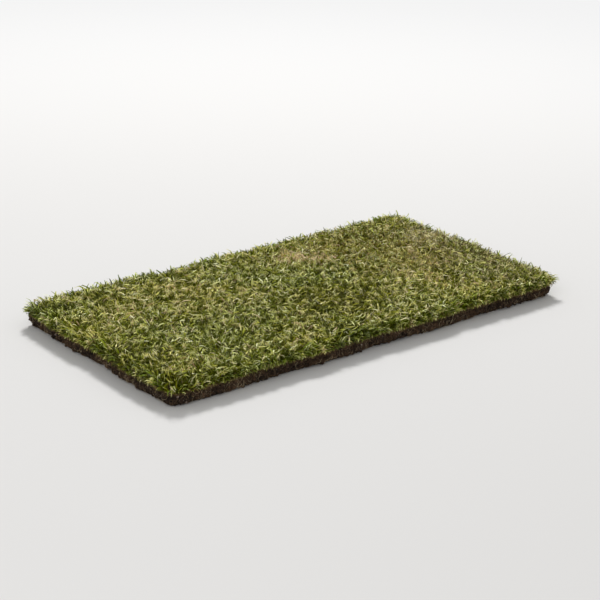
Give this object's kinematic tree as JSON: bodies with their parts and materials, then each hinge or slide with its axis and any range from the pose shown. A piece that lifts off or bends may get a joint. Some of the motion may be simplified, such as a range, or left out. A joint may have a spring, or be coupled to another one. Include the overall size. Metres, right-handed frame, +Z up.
{
  "type": "turf slab",
  "caption": "Flat rectangular slab of mown turf for laying a lawn: short grass on a thin mat of soil bound by its roots.",
  "frame": {"origin": "on the flat underside, below the middle of the whole slab's box", "axes": "+X along the slab's long side, +Y across it, +Z up through the soil to the grass tips"},
  "size_m": [0.9348, 0.4784, 0.0494],
  "materials": {
    "soil": "matte",
    "grass": "matte"
  },
  "bodies": {
    "root": {"root_mat": "soil", "sward": "grass"}
  },
  "joints": []
}
